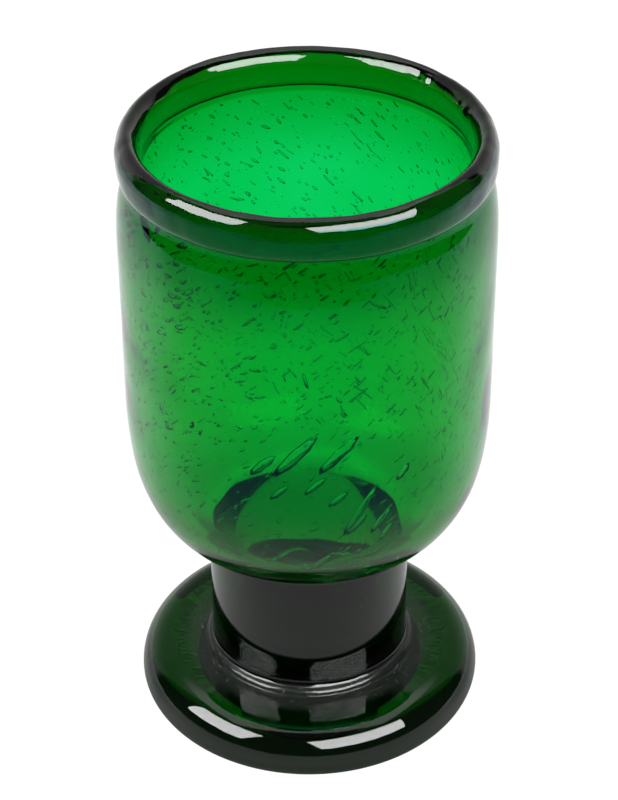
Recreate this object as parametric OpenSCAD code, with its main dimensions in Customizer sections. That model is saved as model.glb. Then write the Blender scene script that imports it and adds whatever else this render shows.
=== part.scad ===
// Water goblet in bubbled green glass. A thick blown bowl with a wrapped lip
// runs down into a well in its short, thick stem, on a heavy round foot.
// Millimetres, +Z up. The origin is the centre of the base, on the table.

/* [Foot] */
// Diameter of the foot at its widest
foot_d = 83.8; // [78:0.2:92]
// Height of the foot's flat top above the table
foot_h = 12.9; // [9:0.1:16]
// Height at which the foot is widest
foot_belly_z = 4.7; // [3:0.1:7]
// How far the lower edge of the foot rounds in
foot_lower_round = 4; // [2:0.1:6]
// How far the upper edge of the foot rounds in
foot_upper_round = 7.8; // [5:0.1:9]
// Diameter of the shallow hollow under the foot
hollow_d = 56; // [30:1:62]
// Depth of the shallow hollow under the foot
hollow_depth = 1.8; // [0.8:0.1:2.6]

/* [Stem] */
// Diameter of the stem
stem_d = 48.2; // [38:0.2:52]
// Height of the stem between the foot's top and the bowl
stem_h = 35.3; // [28:0.1:48]
// Thickness of the stem's wall, round the well inside it
stem_wall = 6.1; // [4:0.1:9]
// Thickness of glass in the stem under the well's floor
well_floor_t = 3.1; // [2:0.1:6]
// Height over which the bottom of the well rounds in
well_round_h = 9; // [5:0.5:12]
// Squareness of the well's rounded bottom, where 2 is a plain ellipse
well_squareness = 2.4; // [2:0.1:3]
// Radius of the bead of glass that rings the foot of the stem
collar_r = 1.6; // [1:0.1:2.6]

/* [Bowl] */
// Largest outer diameter of the bowl
bowl_d = 85.8; // [78:0.2:94]
// Height of the bowl from the stem's edge to the underside of the lip
bowl_h = 96.4; // [84:0.2:120]
// Height over which the bottom of the bowl rounds in to the stem
bowl_round_h = 46; // [34:0.5:54]
// Squareness of the bowl's rounded outside
bowl_squareness = 3.3; // [2.4:0.1:4]
// How far the side draws in, all round, to the groove under the lip
neck_draw = 2.3; // [0.4:0.1:4]
// Height over which the side draws in to that groove
neck_h = 16; // [8:0.5:24]
// Thickness of the side wall
wall_t = 3.8; // [3:0.1:4.8]
// How much thicker the wall grows, on the inside, up to the groove
neck_extra_t = 2.2; // [0.2:0.1:3.6]
// Height over which it thickens
thicken_h = 26; // [12:0.5:30]
// Thickness of the glass at the bottom, before the inside falls into the well
base_t = 3.8; // [3:0.1:6]
// How much squarer the rounded inside is than the outside
inside_extra_squareness = 0.3; // [0:0.05:0.5]
// Width of the rounded shoulder between the bowl's inside and the well
shoulder_w = 8; // [5:0.5:9]

/* [Lip] */
// Height of the lip's top above its widest level
lip_rise = 4.7; // [3.4:0.1:6.5]
// Depth of the lip's underside below its widest level
lip_drop = 5.7; // [4:0.1:7.5]
// How far the lip stands out past the wall's outside
lip_out = 1.95; // [1:0.05:3]
// How far the lip stands in past the wall's inside
lip_in = 0.35; // [0.2:0.05:1.5]
// Squareness of the lip's rounded top
lip_top_squareness = 1.85; // [1.6:0.05:2.6]
// Squareness of the lip's fuller underside
lip_under_squareness = 3.1; // [2:0.05:3.6]
// Radius of the tail where the end of the wrap laps over its start
lap_r = 1.5; // [1:0.1:1.8]
// Radius of the blob at each end of the tail
lap_blob_r = 1.7; // [1.6:0.05:2.2]
// How far the tail stands proud of the lip, into the mouth
lap_proud = 0.5; // [0.2:0.1:0.9]
// Angle that the lapped tail covers round the mouth, in degrees
lap_angle = 24; // [12:1:40]
// Direction of the lap, seen from above, counted from +X
lap_azimuth = 31; // [0:1:359]

/* [Hidden] */
$fn = 128;

// Points along each quarter of a rounded outline
curve_steps = 20;
// Points along the gentle curve of the neck, outside and inside
neck_steps = 6;
inside_neck_steps = 10;

// Heights, from the table up
stem_top_z = foot_h + stem_h;
groove_z = stem_top_z + bowl_h;
wall_end_z = groove_z + lip_drop;
round_top_z = stem_top_z + bowl_round_h;
neck_start_z = groove_z - neck_h;
thicken_start_z = groove_z - thicken_h;
inside_neck_h = max(neck_h, thicken_h);

// Radii
foot_r = foot_d / 2;
stem_r = stem_d / 2;
bowl_r = bowl_d / 2;
neck_r = bowl_r - neck_draw;
inside_r = bowl_r - wall_t;
lip_w = wall_t + lip_out + lip_in;
lip_mid_r = neck_r + lip_out - lip_w / 2;

// The outside curve runs on under the stem, so its full depth is a little more
// than the height over which it shows
bowl_depth = bowl_round_h
    / pow(1 - pow(stem_r / bowl_r, bowl_squareness), 1 / bowl_squareness);
inside_depth = bowl_depth - base_t;
inside_squareness = bowl_squareness + inside_extra_squareness;

// The well in the stem
well_r = stem_r - stem_wall;
well_round_top_z = foot_h + well_floor_t + well_round_h;

// Where the shoulder leaves the inside curve, and the curve's slope there in degrees
shoulder_start_r = well_r + shoulder_w;
shoulder_share = pow(shoulder_start_r / inside_r, inside_squareness);
shoulder_start_z = round_top_z - inside_depth * pow(1 - shoulder_share, 1 / inside_squareness);
shoulder_start_angle = -acos(sqrt(shoulder_share));
shoulder_slope = atan(inside_depth * shoulder_share / shoulder_start_r
    * pow(1 - shoulder_share, 1 / inside_squareness - 1));

// The circle that touches both the inside curve and the side of the well
shoulder_round_r = shoulder_w / (1 - sin(shoulder_slope));
shoulder_mid_r = shoulder_start_r + shoulder_round_r * sin(shoulder_slope);
shoulder_mid_z = shoulder_start_z - shoulder_round_r * cos(shoulder_slope);

// The sphere that hollows the underside of the foot
hollow_sphere_r = (pow(hollow_d / 2, 2) + pow(hollow_depth, 2)) / (2 * hollow_depth);

// The tail lies on the inner shoulder of the lip, where its section is still wide
lap_mid_r = lip_mid_r - lip_w / 2 + lap_r - lap_proud;
lap_z = wall_end_z + lap_blob_r;

// cos and sin raised to a power, with the sign kept
function cos_pow(t, p) = sign(cos(t)) * pow(abs(cos(t)), p);
function sin_pow(t, p) = sign(sin(t)) * pow(abs(sin(t)), p);

// Points on a squared-off ellipse between two angles, middle at [r0, z0]
function squared_arc(r0, z0, half_w, half_h, n, from, to, steps) = [
    for (i = [0 : steps])
        let (t = from + (to - from) * i / steps)
            [r0 + half_w * cos_pow(t, 2 / n), z0 + half_h * sin_pow(t, 2 / n)]
];

// Radius of the bowl's outside at a height above the rounded bottom
function side_r(z) = bowl_r - neck_draw * pow(max(0, z - neck_start_z) / neck_h, 2);

// Thickness of the wall at such a height
function side_t(z) = wall_t + neck_extra_t * pow(max(0, z - thicken_start_z) / thicken_h, 2);

// A list without its first point, which the line before it has already drawn
function after_first(list) = [for (i = [1 : len(list) - 1]) list[i]];

// Outline of the bowl's outside, from the middle of the bottom up
function outside_line() = concat(
    squared_arc(0, round_top_z, bowl_r, bowl_depth, bowl_squareness, -90, 0, curve_steps),
    [for (i = [0 : neck_steps])
        let (z = neck_start_z + neck_h * i / neck_steps)
            [side_r(z), z]],
    [[neck_r, wall_end_z]]
);

// Outline of the inside, from the middle of the well's floor up to the bowl's mouth
function inside_line() = concat(
    squared_arc(0, well_round_top_z, well_r, well_round_h, well_squareness, -90, 0, curve_steps),
    squared_arc(shoulder_mid_r, shoulder_mid_z, shoulder_round_r, shoulder_round_r, 2,
                180, 90 + shoulder_slope, curve_steps),
    after_first(squared_arc(0, round_top_z, inside_r, inside_depth, inside_squareness,
                            shoulder_start_angle, 0, curve_steps)),
    [for (i = [0 : inside_neck_steps])
        let (z = groove_z - inside_neck_h * (1 - i / inside_neck_steps))
            [side_r(z) - side_t(z), z]],
    [[neck_r - wall_t, wall_end_z]]
);

// Everything within the bowl's outside, glass and hollow together
module outside_section() {
    polygon(concat(outside_line(), [[0, wall_end_z]]));
}

// The hollow of the bowl and the well, carried up past the lip
module inside_section() {
    polygon(concat(inside_line(), [[neck_r - wall_t, wall_end_z + lip_rise],
                                   [0, wall_end_z + lip_rise]]));
}

module bowl_section() {
    difference() {
        outside_section();
        inside_section();
    }
}

// The wrapped lip's section, its rounded top and then its fuller underside
module lip_section() {
    polygon(concat(
        squared_arc(lip_mid_r, wall_end_z, lip_w / 2, lip_rise, lip_top_squareness, 0, 180,
                    2 * curve_steps),
        squared_arc(lip_mid_r, wall_end_z, lip_w / 2, lip_drop, lip_under_squareness, 180, 360,
                    2 * curve_steps)
    ));
}

module foot_section() {
    lower = squared_arc(foot_r - foot_lower_round, foot_belly_z, foot_lower_round,
                        foot_belly_z, 2, -90, 0, curve_steps);
    upper = squared_arc(foot_r - foot_upper_round, foot_belly_z, foot_upper_round,
                        foot_h - foot_belly_z, 2, 0, 90, curve_steps);
    polygon(concat([[0, 0]], lower, upper, [[0, foot_h]]));
}

// Thick disc, rounded broadly at its edge and hollowed a little underneath
module foot() {
    color([0.05, 0.20, 0.08]) difference() {
        rotate_extrude() foot_section();
        translate([0, 0, hollow_depth - hollow_sphere_r]) sphere(hollow_sphere_r);
    }
}

// Bead pushed out where the stem was set on the hot foot
module foot_collar() {
    color([0.08, 0.26, 0.11]) rotate_extrude() intersection() {
        translate([stem_r, foot_h]) circle(collar_r);
        translate([stem_r, foot_h]) square(collar_r);
    }
}

// Short thick column, dished on top for the bowl and hollowed by the well
module stem() {
    color([0.06, 0.22, 0.09]) rotate_extrude() difference() {
        translate([0, foot_h]) square([stem_r, stem_h]);
        outside_section();
        inside_section();
    }
}

// Blown wall, with a rounded bottom that opens into the well
module bowl() {
    color([0.03, 0.50, 0.16]) rotate_extrude() bowl_section();
}

// One end of the lapped tail, at an angle round the mouth
module lap_end(angle) {
    rotate([0, 0, angle]) translate([lap_mid_r, 0, lap_z]) sphere(lap_blob_r);
}

// Trail of glass folded over the wall's edge, its end lapped over its start
module lip_wrap() {
    color([0.04, 0.30, 0.10]) difference() {
        union() {
            rotate_extrude() lip_section();
            rotate([0, 0, lap_azimuth - lap_angle / 2])
                rotate_extrude(angle = lap_angle) translate([lap_mid_r, lap_z]) circle(lap_r);
            lap_end(lap_azimuth - lap_angle / 2);
            lap_end(lap_azimuth + lap_angle / 2);
        }
        rotate_extrude() bowl_section();
    }
}

foot();
foot_collar();
stem();
bowl();
lip_wrap();
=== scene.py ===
# %% [markdown]
# # A water goblet in bubbled green glass
# A glass-blower makes this goblet from a few gathers of molten glass: a blown
# bowl that runs down into a well in a short, thick stem, a foot, and a trail of
# glass wrapped round the mouth. Joined hot, they end up as one body of glass, so
# the visible model is one closed skin. Light has to enter and leave it once, with
# no inner walls between the gathers. The trapped air bubbles are a second piece,
# turned inside out. The CAD solids give every size that they can.

# %% Load the frame
import bpy
import math
import random
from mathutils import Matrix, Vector


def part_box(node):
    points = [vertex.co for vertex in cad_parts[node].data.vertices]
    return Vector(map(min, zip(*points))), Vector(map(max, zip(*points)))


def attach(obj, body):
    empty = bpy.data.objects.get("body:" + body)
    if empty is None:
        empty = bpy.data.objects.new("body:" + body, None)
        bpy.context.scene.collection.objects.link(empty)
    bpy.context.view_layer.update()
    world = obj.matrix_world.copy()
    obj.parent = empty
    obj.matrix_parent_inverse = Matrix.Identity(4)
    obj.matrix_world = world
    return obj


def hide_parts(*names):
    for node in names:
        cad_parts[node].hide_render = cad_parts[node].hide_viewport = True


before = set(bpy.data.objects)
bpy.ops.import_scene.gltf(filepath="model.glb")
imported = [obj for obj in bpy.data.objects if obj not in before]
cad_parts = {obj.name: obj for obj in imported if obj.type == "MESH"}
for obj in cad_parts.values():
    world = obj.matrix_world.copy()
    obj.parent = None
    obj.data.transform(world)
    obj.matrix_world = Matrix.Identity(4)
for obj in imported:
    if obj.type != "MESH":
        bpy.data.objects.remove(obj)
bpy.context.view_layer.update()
MM = 0.001

# %% [markdown]
# ## Sizes
# The boxes of the CAD nodes give the radii and heights of the foot, stem, bowl
# and lip. What a box can't tell, such as a wall's thickness, is named here.

# %% Sizes read from the solids, in millimetres
def radius_of(node):
    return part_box(node)[1].x / MM


def bottom_of(node):
    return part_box(node)[0].z / MM


def top_of(node):
    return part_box(node)[1].z / MM


foot_r = radius_of("foot")
foot_top = top_of("foot")
collar_top = top_of("foot_collar")
collar_r = collar_top - foot_top
stem_r = radius_of("stem")
stem_top = top_of("stem")
bowl_r = radius_of("bowl")
lip_top = top_of("lip_wrap")
lip_r = radius_of("lip_wrap")
groove_z = bottom_of("lip_wrap")
wall_end = top_of("bowl")
print("foot", round(foot_r, 2), "stem", round(stem_r, 2), "bowl", round(bowl_r, 2),
      "lip", round(lip_r, 2), "groove at", round(groove_z, 2))

# %% Sizes that the boxes can't tell, in millimetres
hollow_r = 28.0
hollow_depth = 1.8
foot_belly_z = 4.7
foot_lower_round = 4.0
foot_upper_round = 7.8
bowl_round_h = 46.0
bowl_squareness = 3.3
inside_squareness = 3.6
neck_draw = 2.3
neck_h = 16.0
wall_t = 3.8
neck_extra_t = 0.35
thicken_h = 26.0
base_t = 3.8
shoulder_w = 8.0
stem_wall = 6.1
well_floor_t = 3.1
well_round_h = 9.0
well_squareness = 2.4
lip_in = 0.35
lip_top_squareness = 1.85
lip_under_squareness = 3.1

neck_r = bowl_r - neck_draw
inside_r = bowl_r - wall_t
lip_inner_r = neck_r - wall_t - lip_in
lip_mid_r = (lip_r + lip_inner_r) / 2
lip_half_w = (lip_r - lip_inner_r) / 2
round_top = stem_top + bowl_round_h
neck_start = groove_z - neck_h
thicken_start = groove_z - thicken_h
well_r = stem_r - stem_wall
well_round_top = foot_top + well_floor_t + well_round_h
print("mouth", round(2 * lip_inner_r, 2), "well", round(2 * well_r, 2), "wall", wall_t)

# %% [markdown]
# ## The outline of the skin
# The goblet is turned on the blowpipe, so half of its section says nearly all
# of its shape. A real maker's curves are neither circles nor ellipses, but a
# little squarer: a squared-off ellipse, with a power for its squareness, gives
# the rounded bottom, the foot's edge and the lip.

# %% Curves for the half section
ROUND = 2


def squared_arc(middle, half_size, squareness, start, end, steps):
    """Points on a squared-off ellipse, from one angle to another, in degrees."""
    points = []
    for i in range(steps + 1):
        t = math.radians(start + (end - start) * i / steps)
        c, s = math.cos(t), math.sin(t)
        r = middle[0] + half_size[0] * math.copysign(abs(c) ** (2 / squareness), c)
        z = middle[1] + half_size[1] * math.copysign(abs(s) ** (2 / squareness), s)
        points.append((r, z))
    return points


def straight(start, end, steps):
    """Points along a straight line, without its start."""
    return [(start[0] + (end[0] - start[0]) * i / steps,
             start[1] + (end[1] - start[1]) * i / steps) for i in range(1, steps + 1)]

# %% Foot, collar and stem, from the middle of the underside up
HOLLOW_STEPS = 8
outline = [(hollow_r * i / HOLLOW_STEPS, hollow_depth * (1 - (i / HOLLOW_STEPS) ** 2))
           for i in range(HOLLOW_STEPS + 1)]
outline += straight((hollow_r, 0), (foot_r - foot_lower_round, 0), steps=4)
outline += squared_arc((foot_r - foot_lower_round, foot_belly_z),
                       (foot_lower_round, foot_belly_z), ROUND, -90, 0, steps=12)[1:]
outline += squared_arc((foot_r - foot_upper_round, foot_belly_z),
                       (foot_upper_round, foot_top - foot_belly_z), ROUND, 0, 90, steps=20)[1:]
outline += straight((foot_r - foot_upper_round, foot_top),
                    (stem_r + collar_r + 0.2, foot_top), steps=6)
outline += squared_arc((stem_r, foot_top), (collar_r, collar_r), ROUND, 5, 85, steps=10)
outline += straight((stem_r, collar_top + 0.3), (stem_r, stem_top - 0.5), steps=14)
print("points up to the bowl:", len(outline))

# %% [markdown]
# The bowl was blown against the air, so its bottom is a full curve and its side
# is straight. Near the top it was necked in with the jacks, along a curve that
# starts gently and steepens. The wall there is a little thicker.

# %% Bowl's side
def side_r(z):
    """Radius of the bowl's outside, above its rounded bottom."""
    return bowl_r - neck_draw * (max(0, z - neck_start) / neck_h) ** 3


def side_t(z):
    """Thickness of the wall there, which grows towards the groove."""
    return wall_t + neck_extra_t * (max(0, z - thicken_start) / thicken_h) ** 2


def side_heights(steps):
    return [round_top + (groove_z - round_top) * i / steps for i in range(1, steps + 1)]

# %% Outside of the bowl
depth = bowl_round_h / (1 - (stem_r / bowl_r) ** bowl_squareness) ** (1 / bowl_squareness)
stem_angle = math.degrees(math.acos((stem_r / bowl_r) ** (bowl_squareness / 2)))
outline += squared_arc((0, round_top), (bowl_r, depth), bowl_squareness,
                       0.7 - stem_angle, 0, steps=30)
outline += [(side_r(z), z) for z in side_heights(24)]
print("radius at the groove:", round(outline[-1][0], 2))

# %% Lip, from the groove outside over the top to the wall inside
def join_angle(r_wall):
    """Angle round the lip's underside at which it meets a wall of this radius."""
    share = abs(r_wall - lip_mid_r) / lip_half_w
    return math.degrees(math.acos(share ** (lip_under_squareness / 2)))


under = (lip_half_w, wall_end - groove_z)
outline += squared_arc((lip_mid_r, wall_end), under, lip_under_squareness,
                       -join_angle(neck_r), 0, steps=20)
outline += squared_arc((lip_mid_r, wall_end), (lip_half_w, lip_top - wall_end),
                       lip_top_squareness, 0, 180, steps=44)[1:]
neck_inner_r = side_r(groove_z) - side_t(groove_z)
outline += straight((lip_inner_r, wall_end), (neck_inner_r, groove_z), steps=8)[:-1]
print("top of the lip:", round(max(z for _, z in outline), 2))

# %% Inside of the bowl, down to the shoulder
outline += [(side_r(z) - side_t(z), z) for z in reversed(side_heights(24))]
inside_depth = depth - base_t
shoulder_start = well_r + shoulder_w
share = (shoulder_start / inside_r) ** inside_squareness
last_angle = math.degrees(math.acos(math.sqrt(share)))
outline += squared_arc((0, round_top), (inside_r, inside_depth), inside_squareness,
                       0, -last_angle, steps=30)
print("the shoulder starts at", [round(c, 2) for c in outline[-1]])

# %% [markdown]
# The well starts with a round shoulder that touches the bowl's curve without a
# kink. Its radius follows from the slope of that curve where the shoulder starts.

# %% Over the shoulder and down the well in the stem
shoulder_z = outline[-1][1]
slope = math.atan(inside_depth * share / shoulder_start
                  * (1 - share) ** (1 / inside_squareness - 1))
round_r = shoulder_w / (1 - math.sin(slope))
shoulder_middle = (shoulder_start + round_r * math.sin(slope),
                   shoulder_z - round_r * math.cos(slope))
outline += squared_arc(shoulder_middle, (round_r, round_r), ROUND,
                       90 + math.degrees(slope), 180, steps=16)[1:]
outline += straight((well_r, shoulder_middle[1]), (well_r, well_round_top), steps=10)
outline += squared_arc((0, well_round_top), (well_r, well_round_h), well_squareness,
                       0, -90, steps=16)[1:]
print("points in the half section:", len(outline))

# %% [markdown]
# ## Spinning the skin
# One vertex of a plane is kept and extruded along the outline, as a hand would
# draw it, and the line is spun once round the axis. The spin leaves a seam and
# many points at the poles, so doubles are merged and the faces turned outwards.

# %% Helpers for modelling
def deselect_all():
    bpy.ops.object.select_all(action="DESELECT")


def only(piece):
    """Makes a piece the only selected one, and the active one."""
    deselect_all()
    piece.select_set(True)
    bpy.context.view_layer.objects.active = piece


def edit_mode():
    bpy.ops.object.mode_set(mode="EDIT")
    bpy.ops.mesh.select_mode(type="VERT")


def object_mode():
    bpy.ops.object.mode_set(mode="OBJECT")

# %% Draw an outline and spin it
SEGMENTS = 256
WELD = 0.01 * MM


def spun(name, line):
    """A closed surface, spun from a line of (radius, height) points in millimetres."""
    deselect_all()
    bpy.ops.mesh.primitive_plane_add(size=MM, location=(0, 0, 0))
    piece = bpy.context.active_object
    piece.name = name
    edit_mode()
    bpy.ops.mesh.select_all(action="SELECT")
    bpy.ops.mesh.merge(type="CENTER")
    r, z = line[0]
    bpy.ops.transform.translate(value=(r * MM, 0, z * MM))
    for r_next, z_next in line[1:]:
        step = ((r_next - r) * MM, 0, (z_next - z) * MM)
        bpy.ops.mesh.extrude_region_move(TRANSFORM_OT_translate={"value": step})
        r, z = r_next, z_next
    bpy.ops.mesh.select_all(action="SELECT")
    bpy.ops.mesh.spin(steps=SEGMENTS, angle=math.tau, center=(0, 0, 0), axis=(0, 0, 1))
    bpy.ops.mesh.select_all(action="SELECT")
    bpy.ops.mesh.remove_doubles(threshold=WELD)
    bpy.ops.mesh.normals_make_consistent(inside=False)
    bpy.ops.mesh.faces_shade_smooth()
    object_mode()
    return piece


skin = spun("goblet_glass", outline)
print("skin:", len(skin.data.vertices), "vertices,", len(skin.data.polygons), "faces")

# %% [markdown]
# ## Where the wall is
# The waves and the bubbles both need to know where the glass is at a height, so
# the two curves of the bowl are written once more, as a radius for each height.

# %% Radii of the bowl at a height
def outside_radius(z):
    """Radius of the bowl's outside at a height, in mm."""
    if z > round_top:
        return side_r(z)
    u = min(1.0, (round_top - z) / depth)
    return bowl_r * (1 - u ** bowl_squareness) ** (1 / bowl_squareness)


def inside_radius(z):
    """Radius of the bowl's inside at a height, in mm, or 0 below its bottom."""
    if z > round_top:
        return side_r(z) - side_t(z)
    u = min(1.0, (round_top - z) / inside_depth)
    return inside_r * (1 - u ** inside_squareness) ** (1 / inside_squareness)


print("wall at 100 mm:", round(outside_radius(100) - inside_radius(100), 2))

# %% [markdown]
# ## The hand-made look
# Nothing blown by hand is quite round. A Displace modifier with a soft noise
# lets the wall sink by a few tenths of a millimetre here and there. It moves the
# skin inwards, so the goblet stays inside its measured size. A vertex group says
# how much each part may move: the base stays flat on the table. Applying a
# modifier makes the mesh's groups anew, so a group is kept by its name here: an
# old reference to one would point at memory that Blender has freed.

# %% Helpers for soft waves
def share_of(value, start, length):
    """How far a value is along a stretch, from 0 to 1. A negative length runs down."""
    return min(1.0, max(0.0, (value - start) / length))


def weight_group(name, weight_at):
    """Adds a vertex group, weighted by each vertex's place, and gives its name."""
    group = skin.vertex_groups.new(name=name)
    for v in skin.data.vertices:
        w = weight_at(v.co / MM)
        if w > 0:
            group.add([v.index], w, "REPLACE")
    return name


def displace(name, group, strength_mm, mid_level, texture=None):
    """Moves the skin along its normals, where the group lets it."""
    mover = skin.modifiers.new(name, "DISPLACE")
    mover.texture = texture
    mover.texture_coords = "LOCAL"
    mover.vertex_group = group
    mover.strength = strength_mm * MM
    mover.mid_level = mid_level
    only(skin)
    bpy.ops.object.modifier_apply(modifier=name)


MOSTLY_INWARDS = 0.9


def soften(name, group, wavelength_mm, strength_mm):
    """Displaces the skin inwards by a cloud noise."""
    clouds = bpy.data.textures.new(name, "CLOUDS")
    clouds.noise_scale = wavelength_mm * MM
    clouds.noise_depth = 1
    displace(name, group, strength_mm, MOSTLY_INWARDS, clouds)
    print(name, "every", wavelength_mm, "mm, up to", strength_mm, "mm deep")

# %% Waves in the wall
soften("wall_waves", weight_group("bowl_wall", lambda p: share_of(p.z, stem_top, 20)), 16, 0.35)

# %% [markdown]
# The breath leaves finer waves on the inside, low on the far wall. They break up
# what the bottom of the bowl mirrors.

# %% Waves inside the bowl
SKIN_DEPTH = 1.5


def far_inside_share(p):
    """Weight on the far side of the bowl's inner surface, above the shoulder."""
    if math.hypot(p.x, p.y) > outside_radius(p.z) - SKIN_DEPTH:
        return 0.0
    return share_of(p.z, stem_top + 4, 6) * share_of(p.z, 115, -20) * share_of(p.y, 0, 12)


soften("inside_waves", weight_group("bowl_inside", far_inside_share), 9, 0.32)

# %% Lumps in the lip
lip_group = weight_group("lip", lambda p: share_of(p.z, groove_z, 3))
soften("lip_lumps", lip_group, 7, 0.25)
soften("lip_pits", lip_group, 2.6, 0.06)

# %% [markdown]
# The trail of the lip ends in a tail that lies on its own start. It shows as a
# small raised lap on the lip's inner shoulder, at the back right.

# %% Lap in the lip, with a ridge at each of its ends
LAP_AZIMUTH = 31
LAP_HALF_ANGLE = 12
LAP_REACH = 2.2
LAP_HEIGHT = 0.7
LAP_PLACE = (lip_inner_r + 1, wall_end + 1.7)
RIDGE_FROM, RIDGE_TO = 0.8, 1.25
RIDGE_HEIGHT, RIDGE_SLOPE = 1.5, 0.16


def lap_share(p):
    """Weight round the tail of the wrap, falling off along it and across it."""
    along = abs(math.degrees(math.atan2(p.y, p.x)) - LAP_AZIMUTH) / LAP_HALF_ANGLE
    across = math.hypot(math.hypot(p.x, p.y) - LAP_PLACE[0], p.z - LAP_PLACE[1]) / LAP_REACH
    if along >= RIDGE_TO:
        return 0.0
    ridge = max(0.0, RIDGE_HEIGHT - abs(along - 1) / RIDGE_SLOPE)
    height = 1.0 if along < RIDGE_FROM else ridge
    return height / RIDGE_HEIGHT * max(0.0, 1 - across) ** 0.5


displace("lap", weight_group("lap", lap_share), LAP_HEIGHT, 0.0)
print("lap at", LAP_AZIMUTH, "degrees,", LAP_HEIGHT, "mm high")

# %% [markdown]
# ## Bubbles
# The glass is full of seeds, small bubbles stretched as the gather was twisted
# and blown. Each is a closed shell with few faces, flattened in the wall and
# drawn out along the twist. Air in glass needs its faces turned inwards, so
# that a ray leaving the glass through them finds air.

# %% One seed, modelled once
deselect_all()
bpy.ops.mesh.primitive_uv_sphere_add(segments=7, ring_count=4, radius=1)
seed_shape = bpy.context.active_object
edit_mode()
bpy.ops.mesh.select_all(action="SELECT")
bpy.ops.mesh.quads_convert_to_tris()
object_mode()
seed_points = [v.co.copy() for v in seed_shape.data.vertices]
seed_faces = [tuple(reversed(f.vertices)) for f in seed_shape.data.polygons]
bpy.data.objects.remove(seed_shape)
print("faces in a seed:", len(seed_faces))

# %% A seed at its place in the wall
seed_verts, all_seed_faces = [], []


def add_seed(azimuth, z, r, length, width, thickness, tilt):
    """Adds one seed in the wall, tilted along the twist. All in mm and degrees."""
    a, t = math.radians(azimuth), math.radians(tilt)
    out = Vector((math.cos(a), math.sin(a), 0))
    around = Vector((-math.sin(a), math.cos(a), 0))
    along = around * math.cos(t) + Vector((0, 0, 1)) * math.sin(t)
    across = out.cross(along)
    place = out * r + Vector((0, 0, z))
    first = len(seed_verts)
    for p in seed_points:
        q = (place + along * (p.x * length / 2) + across * (p.y * width / 2)
             + out * (p.z * thickness / 2))
        seed_verts.append(q * MM)
    all_seed_faces.extend(tuple(first + i for i in f) for f in seed_faces)


def middle_of_wall(z):
    return (outside_radius(z) + inside_radius(z)) / 2

# %% [markdown]
# Most seeds are short, a few are long, and all lean along the twist that the
# gather got on the pipe, about 42 degrees. They keep clear of both surfaces.

# %% Scatter the seeds through the wall
rng = random.Random(7)
SEED_COUNT = 2100
TWIST = 42
SHORTEST_SEED, LONGEST_SEED = 0.6, 4.2
MEAN_EXTRA_LENGTH = 0.9
WIDTH_BY_LENGTH = (0.35, 0.8)
SEED_WIDTHS = (0.3, 0.75)
SEED_DEPTHS = (0.25, 0.75)
SEED_FLATNESS = 0.32
lowest_seed, highest_seed = stem_top + 6, groove_z - 1
for _ in range(SEED_COUNT):
    z = rng.uniform(lowest_seed, highest_seed)
    r_out, r_in = outside_radius(z), inside_radius(z)
    length = min(LONGEST_SEED, SHORTEST_SEED + rng.expovariate(1 / MEAN_EXTRA_LENGTH))
    width = min(length * rng.uniform(*WIDTH_BY_LENGTH), rng.uniform(*SEED_WIDTHS))
    r = r_in + (r_out - r_in) * rng.uniform(*SEED_DEPTHS)
    add_seed(rng.uniform(0, 360), z, r, length, width, width * SEED_FLATNESS,
             rng.gauss(TWIST, 9))
print("seeds:", SEED_COUNT)

# %% Fine specks between them
SPECK_COUNT = 1900
SPECK_SIZES = (0.14, 0.28)
SPECK_DEPTHS = (0.2, 0.8)
for _ in range(SPECK_COUNT):
    z = rng.uniform(lowest_seed, highest_seed)
    r_out, r_in = outside_radius(z), inside_radius(z)
    size = rng.uniform(*SPECK_SIZES)
    add_seed(rng.uniform(0, 360), z, r_in + (r_out - r_in) * rng.uniform(*SPECK_DEPTHS),
             size * 1.5, size, size * 0.8, rng.gauss(TWIST, 12))
print("specks:", SPECK_COUNT)

# %% [markdown]
# Low in the front wall a dozen bubbles were drawn out flat, like leaves. They
# are the ones that a viewer remembers, so each has its own place and size. The
# last one in the list is high on the left, and leans the other way.

# %% Leaf-shaped bubbles: azimuth, height, length, width, tilt
LEAVES = [(-104, 93, 8.8, 2.25, 47), (-94, 96, 15.2, 3.0, 50), (-81, 96, 13.3, 2.75, 47),
          (-81, 84, 5.8, 1.75, 40), (-74, 80, 15.7, 2.0, 59), (-75, 76, 6.9, 1.75, 47),
          (-67, 76, 8.2, 2.0, 53), (-65, 72, 5.9, 1.625, 53), (-60, 88, 5.0, 2.0, 49),
          (-86, 65, 7.3, 1.875, 46), (-88, 88, 7.0, 1.5, 44), (-99, 86, 6.0, 1.5, 46),
          (-149, 142, 7.7, 3.25, -50)]
LEAF_THICKNESS = 0.22
for azimuth, z, length, width, tilt in LEAVES:
    add_seed(azimuth, z, middle_of_wall(z), length, width, LEAF_THICKNESS, tilt)
print("leaves:", len(LEAVES))

# %% Wide, flat bubbles high at the left
WIDE_COUNT = 30
WIDE_HEIGHTS = (112, 143)
WIDE_LENGTHS = (1.6, 3.2)
WIDE_AZIMUTHS = (-172, -128)
WIDE_THICKNESS = 0.12
for _ in range(WIDE_COUNT):
    z = rng.uniform(*WIDE_HEIGHTS)
    length = rng.uniform(*WIDE_LENGTHS)
    add_seed(rng.uniform(*WIDE_AZIMUTHS), z, middle_of_wall(z), length, length * 0.5,
             WIDE_THICKNESS, rng.gauss(30, 15))
print("wide bubbles:", WIDE_COUNT)

# %% [markdown]
# The trail of the lip caught air when it was folded over: a row of bubbles at
# the back right, and small pits in a few places round it.

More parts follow.
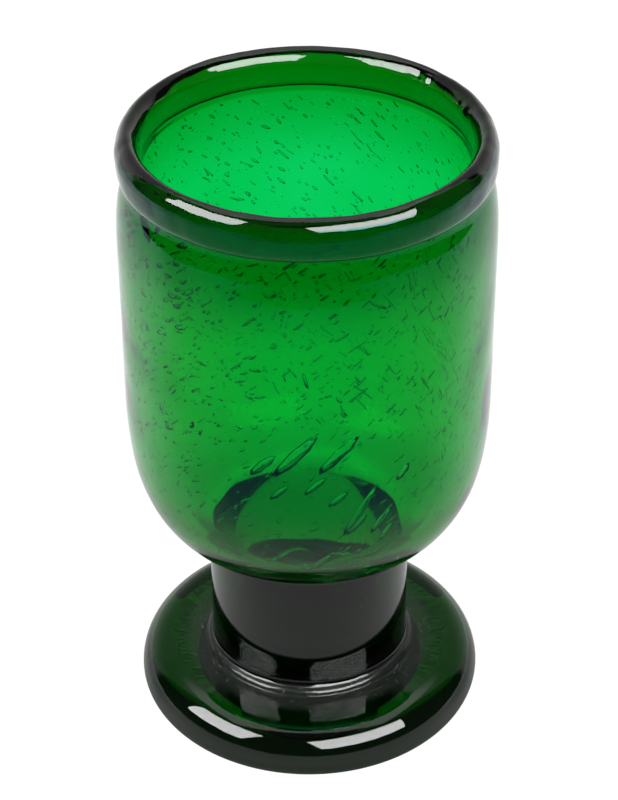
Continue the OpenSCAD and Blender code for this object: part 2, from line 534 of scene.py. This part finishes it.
# %% Bubbles caught in the lip: azimuth, height, length, width
LIP_BUBBLES = [(71, 153.1, 2.0, 1.3), (66, 153.3, 1.5, 1.1), (63, 152.6, 1.0, 0.8),
               (58, 153.2, 2.6, 1.0), (52, 152.8, 1.9, 0.9), (47, 152.2, 1.2, 0.9)]
LIP_BUBBLE_R = lip_inner_r + 1.9
LIP_BUBBLE_THICKNESS = 0.8
LIP_BUBBLE_TILT = 8
for azimuth, z, length, width in LIP_BUBBLES:
    add_seed(azimuth, z, LIP_BUBBLE_R, length, width, LIP_BUBBLE_THICKNESS, LIP_BUBBLE_TILT)
print("in the row:", len(LIP_BUBBLES))

# %% Pits, in bunches round the lip
PIT_AZIMUTHS = (-146, -136, -60, 160, 25)
PIT_COUNT = 26
PIT_SIZES = (0.3, 0.8)
PIT_HEIGHTS = (151.5, 153.8)
PIT_OFFSETS = (-0.6, 1.6)
for _ in range(PIT_COUNT):
    size = rng.uniform(*PIT_SIZES)
    add_seed(rng.choice(PIT_AZIMUTHS) + rng.gauss(0, 7), rng.uniform(*PIT_HEIGHTS),
             lip_mid_r + rng.uniform(*PIT_OFFSETS), size * 1.3, size, size, 0)
print("pits:", PIT_COUNT)

# %% Join the bubbles into one piece
mesh = bpy.data.meshes.new("seeds")
mesh.from_pydata(seed_verts, [], all_seed_faces)
seeds = bpy.data.objects.new("seeds", mesh)
bpy.context.collection.objects.link(seeds)
only(seeds)
bpy.ops.object.shade_smooth()
print("triangles in all the bubbles:", len(all_seed_faces))

# %% [markdown]
# ## Materials
# Green bottle glass gets its colour from metal oxides all through it, so the
# colour belongs to the depth of glass that light crosses: a thin wall is bright
# emerald and a thick stem is nearly black. Volume Absorption does that. The
# surface was fire-polished by the flame and is smooth, with a soft-glass IOR.

# %% Helpers for materials
def srgb(hex_value):
    """An sRGB hex colour, such as "1AC04A", as linear RGBA."""
    channels = [int(hex_value[i:i + 2], 16) / 255 for i in (0, 2, 4)]
    linear = [c / 12.92 if c <= 0.04045 else ((c + 0.055) / 1.055) ** 2.4 for c in channels]
    return linear + [1.0]


def new_material(name):
    mat = bpy.data.materials.new(name)
    mat.use_nodes = True
    mat.node_tree.nodes.clear()
    return mat


def add(mat, kind, settings=None, inputs=None):
    """Adds a node with its settings. An input is a value, a socket or a node to link."""
    n = mat.node_tree.nodes.new(kind)
    for key, value in (settings or {}).items():
        setattr(n, key, value)
    for key, value in (inputs or {}).items():
        if isinstance(value, bpy.types.Node):
            value = value.outputs[0]
        if isinstance(value, bpy.types.NodeSocket):
            mat.node_tree.links.new(value, n.inputs[key])
        else:
            n.inputs[key].default_value = value
    return n


SMOOTH = {"interpolation_type": "SMOOTHSTEP"}
MULTIPLY = {"operation": "MULTIPLY"}
SUBTRACT = {"operation": "SUBTRACT"}
DIVIDE = {"operation": "DIVIDE"}
MULTIPLY_ADD = {"operation": "MULTIPLY_ADD"}
MAXIMUM = {"operation": "MAXIMUM"}
ABSOLUTE = {"operation": "ABSOLUTE"}
LENGTH = {"operation": "LENGTH"}
COLOURS = {"data_type": "RGBA"}
NUMBERS = {"data_type": "FLOAT"}

# %% [markdown]
# The glass swallows red within a millimetre, blue in a few and green in many.
# These are shares of light and not a painted colour. Volume Absorption takes
# them as a density and a colour: what it swallows per metre is the density times
# one minus the colour.

# %% Absorption of the glass
GLASS_IOR = 1.52
ABSORB_PER_MM = (1.7, 0.145, 0.62)
DENSITY_PER_MM = 2.0
absorb_colour = [1 - a / DENSITY_PER_MM for a in ABSORB_PER_MM] + [1.0]
print("absorption colour:", [round(c, 3) for c in absorb_colour])

# %% [markdown]
# The parts differ a little. The bowl's reflections are tinted blue-green, where a neutral one
# would look grey. At the back of the low bowl that tint is darker, which is painted shade on what
# it mirrors. The foot's sides and back mirror dimmer, also as painted shade. The neck is darker
# towards the groove. All round, this stands for glass that the skin leaves thinner there. On its
# front half it is darker still, as painted shade, where the goblet's shadow on the table shows
# through the wall. The lip's trail is tinted darker than its thickness makes it, and darker still
# on its front half, which is painted shade. The stem's front is darkened as painted shade, so
# that it lets hardly anything through. Grey dust lies on the foot round the collar. A shine tints
# what the surface mirrors, and the others tint what passes through it. The front and back halves
# were matched one by one, so some tints differ between them. They belong to the goblet and turn
# with it.

# %% Tints of the parts
CLEAR = srgb("FFFFFF")
BOWL_SHINE = srgb("26BCCB")
# Painted shade: the back of the bowl mirrors through a darker tint than the front.
BOWL_SHINE_PAINTED_SHADE_BACK = srgb("269078")
# Painted shade: the foot's sides and back mirror through a dimmer grey than its front.
FOOT_SHINE_PAINTED_SHADE = srgb("899A8F")
# Painted shade: the neck's front half lets less through than its back.
NECK_FRONT_PAINTED_SHADE = srgb("B3B68E")
NECK_BACK = srgb("DADDB6")
# Painted shade: the lip's front half lets less through than its back.
WRAP_FRONT_PAINTED_SHADE = srgb("278F46")
WRAP_BACK = srgb("27A646")
# Painted shade: the stem's front lets hardly anything through.
STEM_FRONT_PAINTED_SHADE = srgb("45614B")
DUST = srgb("BCBCBC")
print("lip tint, linear:", [round(c, 3) for c in WRAP_FRONT_PAINTED_SHADE])

# %% [markdown]
# A tint needs to know where it is, and that comes from the place on the goblet
# itself. Each edge is a soft step along the height z, the depth y (the front is
# negative) or the distance r from the axis. A part is where all its edges hold.

# %% Edges: what is measured, then where it starts and is whole, in millimetres
EDGES = {
    "back": ("y", 0, 15),
    "front": ("y", 20, -20),
    "front_of_stem": ("y", 2, -8),
    "behind_foot_edge": ("y", -26, -16),
    "above_bottom": ("z", 60, 82),
    "below_middle": ("z", 82, 60),
    "above_stem": ("z", stem_top - 8, stem_top),
    "below_groove": ("z", 148, 146),
    "below_lip_top": ("z", 153.2, 152.4),
    "neck": ("z", 120, 143),
    "lip": ("z", groove_z - 0.4, groove_z + 0.8),
    "above_collar": ("z", collar_top, collar_top + 2),
    "below_bowl": ("z", stem_top + 3.5, stem_top + 1.5),
    "foot_height": ("z", 15, 13.2),
    "above_foot_edge": ("z", 11.8, 12.7),
    "below_collar_top": ("z", 15.5, 14.5),
    "near_collar": ("r", 32, 27.5),
    "outer_lip": ("r", 40.5, 41.5),
    "outer_stem": ("r", stem_r - 2.5, stem_r - 1.0)}
PARTS = {
    "bowl": ("above_bottom", "below_groove"),
    "lip_side": ("above_bottom", "outer_lip", "below_lip_top"),
    "low_at_back": ("back", "above_stem", "below_middle"),
    "stem": ("outer_stem", "above_collar", "below_bowl", "front_of_stem"),
    "foot": ("foot_height", "behind_foot_edge"),
    "dusty": ("above_foot_edge", "below_collar_top", "near_collar")}
print("edges:", len(EDGES), "parts:", len(PARTS))

# %% Masks for the edges and the parts
def masks_of_parts(mat, place):
    """A mask for each edge and part, 1 where it is and 0 away from it."""
    axes = add(mat, "ShaderNodeSeparateXYZ", inputs={0: place}).outputs
    flat_place = add(mat, "ShaderNodeVectorMath", MULTIPLY, {0: place, 1: (1, 1, 0)})
    from_axis = add(mat, "ShaderNodeVectorMath", LENGTH, {0: flat_place}).outputs["Value"]
    measured = {"y": axes["Y"], "z": axes["Z"], "r": from_axis}
    on = {}
    for name, (measure, start, whole) in EDGES.items():
        on[name] = add(mat, "ShaderNodeMapRange", SMOOTH, {
            0: measured[measure], 1: start * MM, 2: whole * MM, 3: 0.0, 4: 1.0})
    for name, (first, *others) in PARTS.items():
        on[name] = on[first]
        for other in others:
            on[name] = add(mat, "ShaderNodeMath", MULTIPLY, {0: on[name], 1: on[other]})
    for other in ("lip_side", "low_at_back"):
        on["bowl"] = add(mat, "ShaderNodeMath", MAXIMUM, {0: on["bowl"], 1: on[other]})
    return on


def layered(mat, colour, *layers):
    """A colour with others laid over it, each where its mask is."""
    for mask, over in layers:
        mixed = add(mat, "ShaderNodeMix", COLOURS, {0: mask, 6: colour, 7: over})
        colour = mixed.outputs[2]
    return colour

# %% [markdown]
# House dust is about a hundredth of a millimetre across. Such grains are too
# fine to show, so they are drawn coarser, 0.24 mm apart. Each cell of a Voronoi
# pattern has a random shade, and only the palest few become grains, over a thin
# film. Dust is matt and lets no light through, so it lowers the transmission.

# %% Dust round the collar
GRAIN_MM = 0.24
GRAIN_SHADES = (0.88, 0.93)
GRAIN_COVER = 0.4
FILM_COVER = 0.03
DUSTY_ROUGHNESS = 0.22


def dust_cover(mat, place, dusty):
    """The share of the surface that dust covers."""
    cells = add(mat, "ShaderNodeTexVoronoi", inputs={
        "Vector": place, "Scale": 1 / (GRAIN_MM * MM)})
    grains = add(mat, "ShaderNodeMapRange", {}, {
        0: cells.outputs["Color"], 1: GRAIN_SHADES[0], 2: GRAIN_SHADES[1], 3: 0.0, 4: 1.0})
    cover = add(mat, "ShaderNodeMath", MULTIPLY_ADD, {0: grains, 1: GRAIN_COVER, 2: FILM_COVER})
    return add(mat, "ShaderNodeMath", MULTIPLY, {0: dusty, 1: cover})

# %% [markdown]
# The flame melted the skin smooth, so it mirrors sharply. Clear glass throws
# coloured light and not a black shadow, but a path tracer finds that light too
# rarely, so shadow rays go straight through. A bubble has the same skin and no
# volume: the volume stays in the glass round it. It looks like a small lens with
# a dark rim.

# %% Fire-polished green glass, and the skin of a bubble


def green_glass(name):
    """The material with the glass's surface, and its output node."""
    mat = new_material(name)
    place = add(mat, "ShaderNodeTexCoord").outputs["Object"]
    on = masks_of_parts(mat, place)
    # Painted shade rides in these tints. The shine is dimmed at the back of the low bowl and on
    # the foot's sides and back. The base colour darkens the front of the neck, the lip and the
    # stem. The dust is the glass's own.
    bowl_shine_with_painted_shade = layered(mat, BOWL_SHINE, (on["back"], BOWL_SHINE_PAINTED_SHADE_BACK))
    shine_with_painted_shade = layered(mat, CLEAR, (on["bowl"], bowl_shine_with_painted_shade), (on["foot"], FOOT_SHINE_PAINTED_SHADE))
    neck = layered(mat, NECK_BACK, (on["front"], NECK_FRONT_PAINTED_SHADE))
    wrap = layered(mat, WRAP_BACK, (on["front"], WRAP_FRONT_PAINTED_SHADE))
    glass = layered(mat, CLEAR, (on["neck"], neck), (on["lip"], wrap),
                    (on["stem"], STEM_FRONT_PAINTED_SHADE), (on["dusty"], DUST))
    dust = dust_cover(mat, place, on["dusty"])
    roughness = add(mat, "ShaderNodeMath", MULTIPLY, {0: on["dusty"], 1: DUSTY_ROUGHNESS})
    let_through = add(mat, "ShaderNodeMath", SUBTRACT, {0: 1.0, 1: dust})
    surface = add(mat, "ShaderNodeBsdfPrincipled", inputs={
        "Base Color": glass, "Specular Tint": shine_with_painted_shade, "Roughness": roughness,
        "Transmission Weight": let_through, "IOR": GLASS_IOR})
    unshaded = add(mat, "ShaderNodeBsdfTransparent")
    rays = add(mat, "ShaderNodeLightPath")
    both = add(mat, "ShaderNodeMixShader", inputs={
        0: rays.outputs["Is Shadow Ray"], 1: surface, 2: unshaded})
    return mat, add(mat, "ShaderNodeOutputMaterial", inputs={"Surface": both})


body_glass, body_out = green_glass("fire_polished_green_glass")
depth_tint = add(body_glass, "ShaderNodeVolumeAbsorption", inputs={
    "Color": absorb_colour, "Density": DENSITY_PER_MM / MM})
body_glass.node_tree.links.new(depth_tint.outputs[0], body_out.inputs["Volume"])
skin.data.materials.append(body_glass)
bubble_skin, _ = green_glass("air_bubble")
seeds.data.materials.append(bubble_skin)
print("nodes in the glass:", len(body_glass.node_tree.nodes))

# %% Join the pieces to the frame
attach(skin, "root")
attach(seeds, "root")
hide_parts("foot", "foot_collar", "stem", "bowl", "lip_wrap")
print("pieces:", skin.name, seeds.name)

# %% [markdown]
# ## The studio
# The goblet stands on a pale table under two soft boxes. Whoever takes the
# picture stands in the dark in front of it, so the glass mirrors a pale table
# that turns dark in the middle of the front, a pale wall behind, a dark room at
# the sides and two bright windows. What the glass sees of the table is less
# bright than what the camera sees, because the camera's white is clipped.

# %% Table
TABLE_FRONT = -0.70
DARK_FROM_Y = -0.33
TABLE_BACK = 1.0
TABLE_HALF_W = 0.75
deselect_all()
bpy.ops.mesh.primitive_plane_add(size=1, location=(0, 0, 0))
table = bpy.context.active_object
table.name = "table"
for v in table.data.vertices:
    v.co.x = math.copysign(TABLE_HALF_W, v.co.x)
    v.co.y = TABLE_BACK if v.co.y > 0 else TABLE_FRONT
print("table, in m:", TABLE_HALF_W * 2, "by", TABLE_BACK - TABLE_FRONT)

# %% [markdown]
# The table is a matt painted board. The glass mirrors it from below, so its
# brightness is drawn by place: dark in the goblet's own shade, dim near it and
# to the front, brighter behind it, and dark in the middle of the front.

# %% Levels on the table: what is measured, start and end in metres, a level at each
TABLE_LEVELS = {
    "out_of_shade": ("middle", 0.036, 0.052, 0.01, 1.0),
    "behind_goblet": ("y", -0.08, 0.05, 0.0, 1.0),
    "away_from_it": ("middle", 0.070, 0.135, 0.12, 0.47),
    "near_middle": ("x", 0.20, 0.42, 1.0, 0.0)}
white = new_material("white_table")
spot = add(white, "ShaderNodeTexCoord").outputs["Object"]
spot_x, spot_y, _ = add(white, "ShaderNodeSeparateXYZ", inputs={0: spot}).outputs
measured = {
    "middle": add(white, "ShaderNodeVectorMath", LENGTH, {0: spot}).outputs["Value"],
    "x": add(white, "ShaderNodeMath", ABSOLUTE, {0: spot_x}),
    "y": spot_y}
on_table = {}
for name, (measure, start, end, low, high) in TABLE_LEVELS.items():
    on_table[name] = add(white, "ShaderNodeMapRange", SMOOTH, {
        0: measured[measure], 1: start, 2: end, 3: low, 4: high})
print("levels on the table:", list(on_table))

# %% How bright the glass sees the table
FRONT_END_Y = -0.10
FRONT_LEVELS = (0.40, 0.48)
front_level = add(white, "ShaderNodeMapRange", inputs={
    0: spot_y, 1: DARK_FROM_Y, 2: FRONT_END_Y, 3: FRONT_LEVELS[0], 4: FRONT_LEVELS[1]})
pale = add(white, "ShaderNodeMath", MULTIPLY_ADD, {
    0: on_table["behind_goblet"], 1: on_table["away_from_it"], 2: front_level})
in_front = add(white, "ShaderNodeMath", {"operation": "LESS_THAN"}, {0: spot_y, 1: DARK_FROM_Y})
unlit = add(white, "ShaderNodeMath", MULTIPLY, {0: in_front, 1: on_table["near_middle"]})
lit = add(white, "ShaderNodeMath", SUBTRACT, {0: 1.0, 1: unlit})
lit_level = add(white, "ShaderNodeMath", MULTIPLY, {0: on_table["out_of_shade"], 1: lit})
level = add(white, "ShaderNodeMath", MULTIPLY, {0: lit_level, 1: pale})
print("table, at the front:", FRONT_LEVELS)

# %% [markdown]
# The camera sees the board nearly white, whatever the lamps do, and the glass
# sees the drawn levels. A little grey under the glow takes the goblet's shadow.

# %% Table's material
TABLE_SHOWN = 0.96
BOARD_GREY = srgb("595959")
rays = add(white, "ShaderNodeLightPath")
strength = add(white, "ShaderNodeMix", NUMBERS, {
    0: rays.outputs["Is Camera Ray"], 2: level, 3: TABLE_SHOWN})
matt = add(white, "ShaderNodeBsdfDiffuse", inputs={"Color": BOARD_GREY})
glow = add(white, "ShaderNodeEmission", inputs={"Strength": strength})
total = add(white, "ShaderNodeAddShader", inputs={0: matt, 1: glow})
add(white, "ShaderNodeOutputMaterial", inputs={"Surface": total})
table.data.materials.append(white)
print("nodes in the table:", len(white.node_tree.nodes))

# %% [markdown]
# A soft box is a white cloth that glows evenly. Each one here is a panel for the
# glass to mirror and a lamp of the same size that lights the table and the dust.
# The camera doesn't see the panel.

# %% Soft boxes
def facing(place, target):
    return (Vector(target) - Vector(place)).to_track_quat("-Z", "Y").to_euler()


def toward(azimuth, elevation, distance):
    """A place seen from the goblet, azimuth 0 being the front and 90 the right."""
    a, e = math.radians(azimuth), math.radians(elevation)
    return (distance * math.sin(a) * math.cos(e), -distance * math.cos(a) * math.cos(e),
            distance * math.sin(e))


BOX_DISTANCE = 1.0
BOX_ELEVATION = 38
BOX_HEIGHT = 0.52
BOX_GLOW = 12
BOX_WATTS = 6
BOX_TARGET = (0, 0, 0.05)


def soft_box(name, azimuth, width):
    """A panel that the glass reflects, and a lamp of the same size that lights the table."""
    place = toward(azimuth, BOX_ELEVATION, BOX_DISTANCE)
    turn = facing(place, BOX_TARGET)
    deselect_all()
    bpy.ops.mesh.primitive_plane_add(size=1, location=place, rotation=turn)
    panel = bpy.context.active_object
    panel.name = name + "_panel"
    panel.scale = (width, BOX_HEIGHT, 1)
    for ray in ("camera", "diffuse", "shadow"):
        setattr(panel, "visible_" + ray, False)
    mat = new_material(name + "_cloth")
    glow = add(mat, "ShaderNodeEmission", inputs={"Strength": BOX_GLOW})
    add(mat, "ShaderNodeOutputMaterial", inputs={"Surface": glow})
    panel.data.materials.append(mat)
    bpy.ops.object.light_add(type="AREA", location=place, rotation=turn)
    lamp = bpy.context.active_object
    lamp.name = name + "_lamp"
    lamp.data.shape = "RECTANGLE"
    lamp.data.size, lamp.data.size_y = width, BOX_HEIGHT
    lamp.data.energy = BOX_WATTS
    lamp.visible_glossy = False
    lamp.visible_transmission = False
    print(name, "at", [round(c, 2) for c in place])


soft_box("right_soft_box", 35, 0.98)
soft_box("left_soft_box", -65, 0.72)

# %% [markdown]
# The room is dark, but for a pale wall behind the table and a strip of ceiling
# over it. The world's direction vector says where a ray goes. The wall is where
# it goes mostly towards +Y, and the wall is brightest low down. The strip is
# where it goes mostly up.

# %% Room, and its back wall
DARK_LEVEL = 0.05
WALL_EDGE = (0.42, 0.50)
WALL_HEIGHTS = (0.05, 0.5)
WALL_LEVELS = (0.75, 0.40)
room = bpy.data.worlds.new("room")
bpy.context.scene.world = room
room.use_nodes = True
room.node_tree.nodes.clear()
direction = add(room, "ShaderNodeTexCoord").outputs["Generated"]
x_dir, y_dir, z_dir = add(room, "ShaderNodeSeparateXYZ", inputs={0: direction}).outputs
z_squared = add(room, "ShaderNodeMath", MULTIPLY, {0: z_dir, 1: z_dir})
level_squared = add(room, "ShaderNodeMath", SUBTRACT, {0: 1.0, 1: z_squared})
level_part = add(room, "ShaderNodeMath", {"operation": "SQRT"}, {0: level_squared})
towards_back = add(room, "ShaderNodeMath", DIVIDE, {0: y_dir, 1: level_part})
behind = add(room, "ShaderNodeMapRange", inputs={
    0: towards_back, 1: WALL_EDGE[0], 2: WALL_EDGE[1]})
wall_level = add(room, "ShaderNodeMapRange", inputs={
    0: z_dir, 1: WALL_HEIGHTS[0], 2: WALL_HEIGHTS[1], 3: WALL_LEVELS[0], 4: WALL_LEVELS[1]})
back_wall = add(room, "ShaderNodeMix", NUMBERS, {0: behind, 2: DARK_LEVEL, 3: wall_level})
print("back wall:", WALL_LEVELS, "dark sides:", DARK_LEVEL)

# %% Ceiling
STRIP_HALF_W = 0.6
STRIP_FRONT = -0.2
STRIP_HEIGHTS = (0.62, 0.85)
STRIP_LEVEL = 1.25
z_up = add(room, "ShaderNodeMath", MAXIMUM, {0: z_dir, 1: 0.01})
x_up = add(room, "ShaderNodeMath", DIVIDE, {0: x_dir, 1: z_up})
y_up = add(room, "ShaderNodeMath", DIVIDE, {0: y_dir, 1: z_up})
sideways = add(room, "ShaderNodeMath", ABSOLUTE, {0: x_up})
in_width = add(room, "ShaderNodeMath", {"operation": "LESS_THAN"}, {0: sideways, 1: STRIP_HALF_W})
in_depth = add(room, "ShaderNodeMath", {"operation": "GREATER_THAN"}, {0: y_up, 1: STRIP_FRONT})
in_strip = add(room, "ShaderNodeMath", MULTIPLY, {0: in_width, 1: in_depth})
strip_level = add(room, "ShaderNodeMapRange", SMOOTH, {
    0: z_dir, 1: STRIP_HEIGHTS[0], 2: STRIP_HEIGHTS[1], 3: 0.0, 4: STRIP_LEVEL})
ceiling = add(room, "ShaderNodeMath", MULTIPLY, {0: in_strip, 1: strip_level})
print("ceiling strip:", STRIP_LEVEL)

# %% What the glass and the camera see of the room
rays = add(room, "ShaderNodeLightPath")
room_level = add(room, "ShaderNodeMath", MAXIMUM, {0: back_wall, 1: ceiling})
shown_level = add(room, "ShaderNodeMix", NUMBERS, {
    0: rays.outputs["Is Camera Ray"], 2: room_level, 3: 1.0})
sky = add(room, "ShaderNodeBackground", inputs={
    "Color": srgb("FFFFFF"), "Strength": shown_level})
add(room, "ShaderNodeOutputWorld", inputs={"Surface": sky})
print("nodes in the room:", len(room.node_tree.nodes))

# %% [markdown]
# ## Camera
# It looks down at the goblet by about 35 degrees through a long lens, as the
# photograph does. The small shift puts the goblet where it is in the frame.

# %% Camera
CAMERA_DISTANCE = 0.5836
CAMERA_TILT = 34.82
CAMERA_AIM = (0, 0, 0.07767)
CAMERA_ROLL = -0.3
FRAME_HEIGHT_PX = 800
FOCAL_PX = 2471
SENSOR_MM = 36
SHIFT_PX = (0.7, 16.9)
NEAREST_SEEN = 0.01
offset = toward(0, CAMERA_TILT, CAMERA_DISTANCE)
place = [a + b for a, b in zip(CAMERA_AIM, offset)]
bpy.ops.object.camera_add(location=place, rotation=facing(place, CAMERA_AIM))
camera = bpy.context.active_object
camera.rotation_euler.rotate_axis("Z", math.radians(CAMERA_ROLL))
camera.data.lens = FOCAL_PX * SENSOR_MM / FRAME_HEIGHT_PX
camera.data.shift_x, camera.data.shift_y = (px / FRAME_HEIGHT_PX for px in SHIFT_PX)
camera.data.clip_start = NEAREST_SEEN
bpy.context.scene.camera = camera
bpy.context.scene.view_settings.view_transform = "Standard"
print("lens:", round(camera.data.lens, 1), "mm")
